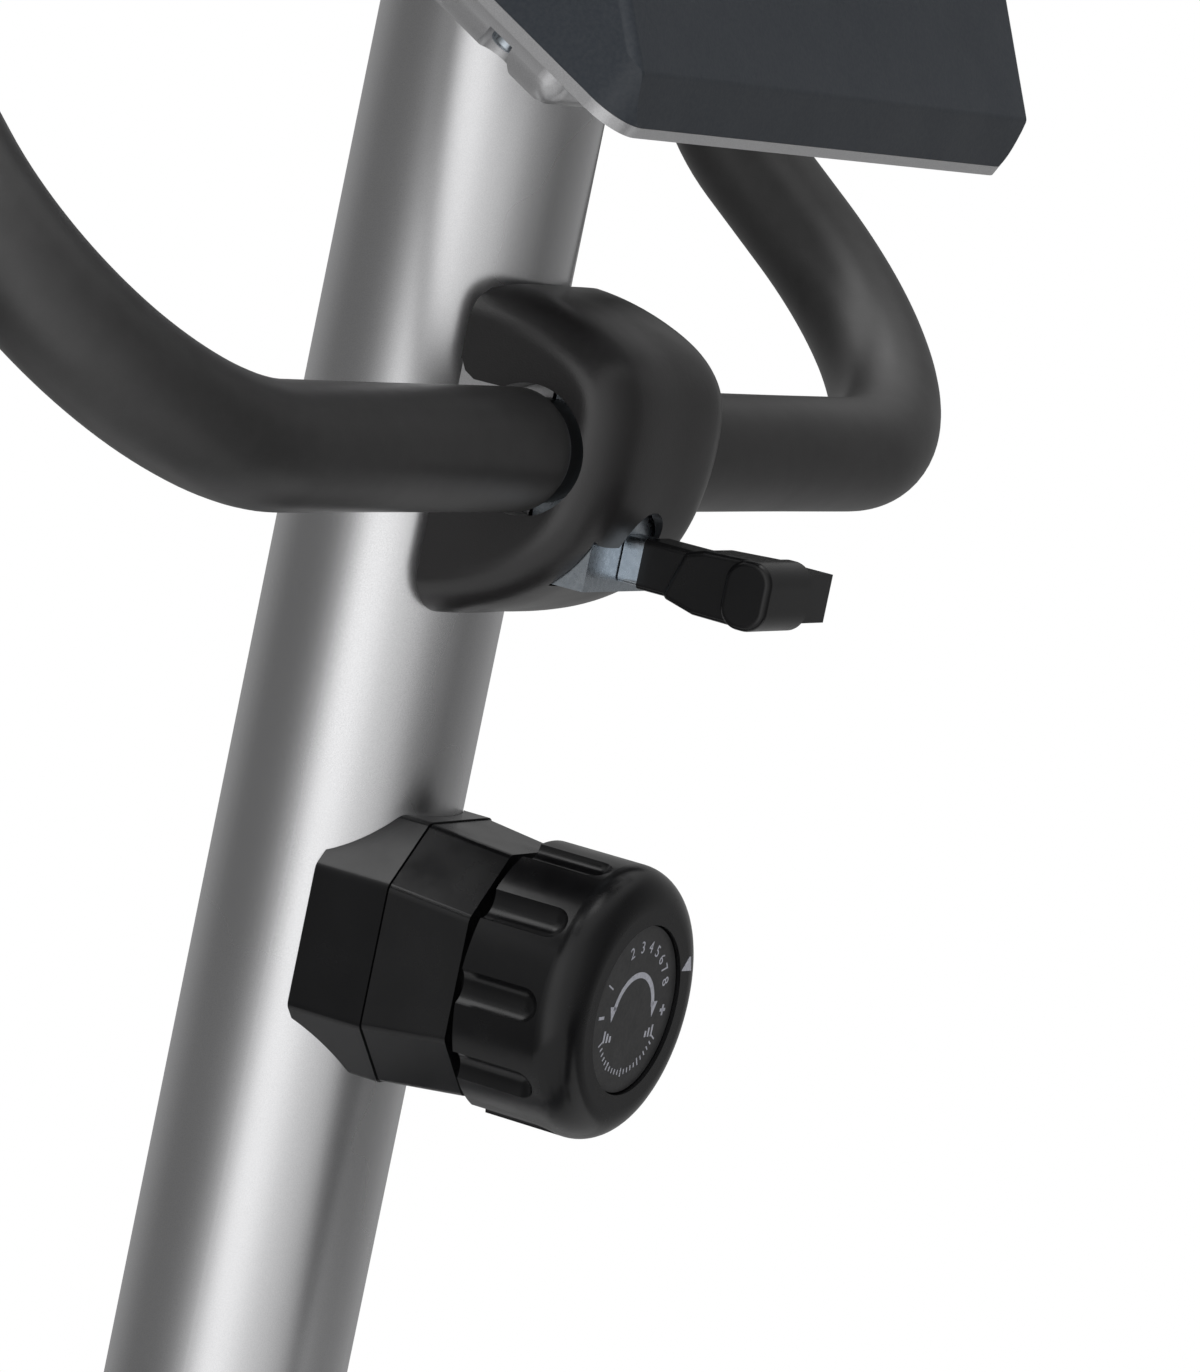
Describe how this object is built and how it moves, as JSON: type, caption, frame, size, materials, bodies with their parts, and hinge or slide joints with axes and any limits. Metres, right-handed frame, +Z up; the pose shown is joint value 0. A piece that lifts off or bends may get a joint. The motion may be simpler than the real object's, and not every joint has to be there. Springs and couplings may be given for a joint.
{
  "type": "exercise bike",
  "caption": "Upright magnetic exercise bike: leaning post with tilting foam handlebar, console, resistance knob, enclosed flywheel drive, pedals and adjustable saddle.",
  "frame": {"origin": "on the floor, under the middle of the bike", "axes": "+X forward as the rider looks, +Y to the rider's left, +Z up"},
  "size_m": [0.96, 0.51, 1.2979],
  "materials": {
    "silver_paint": "silver metallic paint, satin",
    "black_paint": "black powder coat",
    "black_plastic": "fine-grained semi-matt moulding",
    "gloss_black": "polished moulding",
    "slate_plastic": "dark slate, fine texture",
    "silver_plastic": "silver paint on a moulding",
    "foam": "closed-cell foam skin",
    "zinc": "bright zinc plate",
    "steel": "plain steel",
    "stainless": "brushed stainless plate",
    "cast_iron": "turned face, painted",
    "magnet": "nickel-plated block",
    "belt": "moulded belt",
    "window": "clear window",
    "lcd": "grey-green liquid crystal panel",
    "button": "soft grey key",
    "dial_print": "dark grey disc with a pale printed scale",
    "pointer": "white print",
    "vinyl": "soft grained vinyl over foam",
    "strap_rubber": "ribbed rubber",
    "wheel": "hard moulded wheel"
  },
  "bodies": {
    "frame": {"main_beam": "silver_paint", "front_stabilizer": "silver_paint", "rear_stabilizer": "silver_paint", "front_end_caps": "black_plastic", "rear_end_caps": "black_plastic", "frame_bolts": "zinc", "post_socket": "silver_paint", "handlebar_post": "silver_paint", "post_boot": "black_plastic", "seat_tube": "silver_paint", "seat_bushing": "black_plastic", "bottom_bracket": "steel", "flywheel_fork": "black_paint", "shroud_left": "slate_plastic", "shroud_right": "slate_plastic", "cover_screws": "zinc", "drive_belt": "belt", "bar_cradle": "silver_paint", "bar_clamp": "zinc", "clamp_cover": "black_plastic", "tension_housing_rear": "gloss_black", "tension_housing_front": "gloss_black", "tension_dial": "dial_print", "console_front": "slate_plastic", "console_lens": "window", "console_display": "lcd", "console_shell": "silver_plastic", "console_bracket": "black_paint"},
    "wheel_left": {"transport_wheel_left": "wheel"},
    "wheel_right": {"transport_wheel_right": "wheel"},
    "crank": {"drive_pulley": "steel", "crank_left": "black_paint", "crank_right": "black_paint", "pedal_spindles": "zinc"},
    "pedal_left_body": {"pedal_left": "black_plastic", "pedal_strap_left": "strap_rubber"},
    "pedal_right_body": {"pedal_right": "black_plastic", "pedal_strap_right": "strap_rubber"},
    "flywheel_body": {"flywheel": "cast_iron"},
    "magnet_yoke": {"magnet_bracket": "zinc", "magnets": "magnet"},
    "clamp_handle": {"clamp_screw": "zinc", "clamp_knob": "gloss_black"},
    "tension_control": {"tension_knob": "gloss_black", "knob_pointer": "pointer"},
    "handlebar": {"handlebar_tube": "black_paint", "foam_grip_left": "foam", "foam_grip_right": "foam", "grip_end_plugs": "black_plastic", "pulse_sensors": "stainless"},
    "left_button": {"button_left": "button"},
    "middle_button": {"button_middle": "button"},
    "right_button": {"button_right": "button"},
    "seat": {"seat_post": "stainless", "seat_rail": "black_paint"},
    "pin": {"seat_pin": "gloss_black"},
    "saddle": {"saddle_carriage": "black_paint", "saddle_pan": "black_plastic", "saddle_cushion": "vinyl"},
    "saddle_lock": {"saddle_knob": "gloss_black"}
  },
  "joints": [
    {"name": "wheel_left_spin", "type": "hinge", "parent": "frame", "child": "wheel_left", "pos_m": [0.452, 0.229, 0.03], "axis": [0, 1, 0], "continuous": true},
    {"name": "wheel_right_spin", "type": "hinge", "parent": "frame", "child": "wheel_right", "pos_m": [0.452, -0.229, 0.03], "axis": [0, 1, 0], "continuous": true},
    {"name": "crank_spin", "type": "hinge", "parent": "frame", "child": "crank", "pos_m": [-0.07, 0, 0.29], "axis": [0, 1, 0], "continuous": true},
    {"name": "pedal_left_spin", "type": "hinge", "parent": "crank", "child": "pedal_left_body", "pos_m": [0.06926, 0, 0.19249], "axis": [0, 1, 0], "continuous": true},
    {"name": "pedal_right_spin", "type": "hinge", "parent": "crank", "child": "pedal_right_body", "pos_m": [-0.20926, 0, 0.38751], "axis": [0, 1, 0], "continuous": true},
    {"name": "flywheel_spin", "type": "hinge", "parent": "frame", "child": "flywheel_body", "pos_m": [0.145, 0, 0.24], "axis": [0, 1, 0], "continuous": true},
    {"name": "magnet_swing", "type": "hinge", "parent": "frame", "child": "magnet_yoke", "pos_m": [0.05661, 0, 0.32839], "axis": [0, -1, 0], "range_deg": [0, 5]},
    {"name": "tension_turn", "type": "hinge", "parent": "frame", "child": "tension_control", "pos_m": [0.1117, 0, 0.956], "axis": [-0.9736, 0, -0.2284], "range_deg": [0, 132.5]},
    {"name": "clamp_turn", "type": "hinge", "parent": "frame", "child": "clamp_handle", "pos_m": [0.0768, 0, 1.05752], "axis": [-0.9736, 0, -0.2284], "range_deg": [0, 360]},
    {"name": "handlebar_tilt", "type": "hinge", "parent": "frame", "child": "handlebar", "pos_m": [0.095, 0, 1.085], "axis": [0, 1, 0], "range_deg": [-20, 20]},
    {"name": "left_button_press", "type": "slide", "parent": "frame", "child": "left_button", "axis": [0.7193, 0, -0.6947], "range_m": [0, 0.0015], "stiffness_N_per_m": 400},
    {"name": "middle_button_press", "type": "slide", "parent": "frame", "child": "middle_button", "axis": [0.7193, 0, -0.6947], "range_m": [0, 0.0015], "stiffness_N_per_m": 400},
    {"name": "right_button_press", "type": "slide", "parent": "frame", "child": "right_button", "axis": [0.7193, 0, -0.6947], "range_m": [0, 0.0015], "stiffness_N_per_m": 400},
    {"name": "seat_height", "type": "slide", "parent": "frame", "child": "seat", "axis": [-0.2588, 0, 0.9659], "range_m": [0, 0.175]},
    {"name": "seat_pin_push", "type": "slide", "parent": "frame", "child": "pin", "axis": [-0.9659, 0, -0.2588], "range_m": [0, 0.008]},
    {"name": "saddle_slide", "type": "slide", "parent": "seat", "child": "saddle", "axis": [1, 0, 0], "range_m": [-0.045, 0.045]},
    {"name": "saddle_lock_turn", "type": "hinge", "parent": "saddle", "child": "saddle_lock", "pos_m": [-0.18129, 0.03, 0.71965], "axis": [0, 1, 0], "range_deg": [0, 360]}
  ],
  "couplings": [
    {"joint": "flywheel_spin", "follows": "crank_spin", "ratio": 8},
    {"joint": "magnet_swing", "follows": "tension_turn", "ratio": 0.0377}
  ]
}
